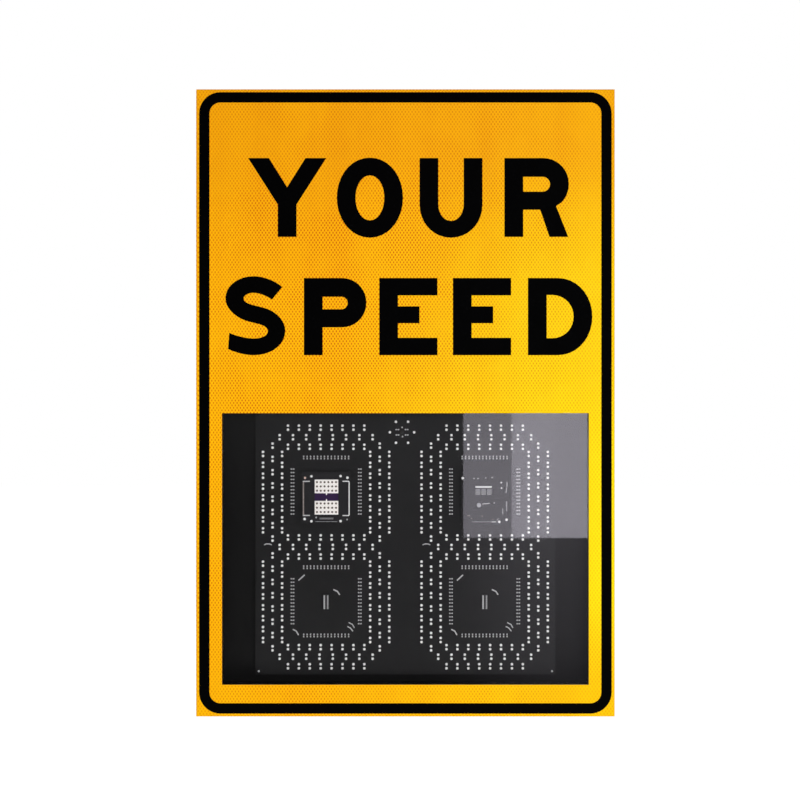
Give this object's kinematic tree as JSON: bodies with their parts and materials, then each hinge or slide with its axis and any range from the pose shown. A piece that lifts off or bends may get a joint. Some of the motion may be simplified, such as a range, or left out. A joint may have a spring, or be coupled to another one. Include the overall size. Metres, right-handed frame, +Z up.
{
  "type": "radar speed sign",
  "caption": "Yellow reflective box sign with a black border and a window over a lamp-digit display and radar module, with slotted rails at the back for a post.",
  "frame": {"origin": "centre of the four post slots, on the rear faces of the two rails", "axes": "+X to the right as a driver sees the face, +Y from the face to the back, +Z up"},
  "size_m": [0.61, 0.0936, 0.914],
  "materials": {
    "aluminium": "satin",
    "grey_paint": "satin",
    "yellow_film": "gloss",
    "black_film": "gloss",
    "clear_sheet": "gloss",
    "foam": "matte",
    "black_paint": "matte",
    "circuit_board": "satin",
    "radar_substrate": "satin",
    "lamp_white": "gloss",
    "antenna_white": "satin",
    "dark_plastic": "satin",
    "can": "satin"
  },
  "bodies": {
    "root": {"face_panel": "aluminium", "upper_rail": "aluminium", "lower_rail": "aluminium", "tray_clips": "aluminium", "board_standoffs": "aluminium", "rear_housing": "grey_paint", "reflective_sheeting": "yellow_film", "border_stripe": "black_film", "window_pane": "clear_sheet", "housing_seal": "foam", "window_gasket": "foam", "clamp_gasket": "foam", "display_tray": "black_paint", "display_board": "circuit_board", "control_board": "circuit_board", "radar_board": "radar_substrate", "left_digit_leds": "lamp_white", "right_digit_leds": "lamp_white", "beacon_leds": "lamp_white", "radar_antennas": "antenna_white", "control_connector": "antenna_white", "radar_headers": "dark_plastic", "control_headers": "dark_plastic", "driver_headers": "dark_plastic", "control_chips": "dark_plastic", "light_sensor": "dark_plastic", "supply_terminals": "dark_plastic", "gland_body": "dark_plastic", "gland_locknut": "dark_plastic", "gland_cap": "dark_plastic", "control_capacitor": "can", "power_supply": "can"}
  },
  "joints": []
}
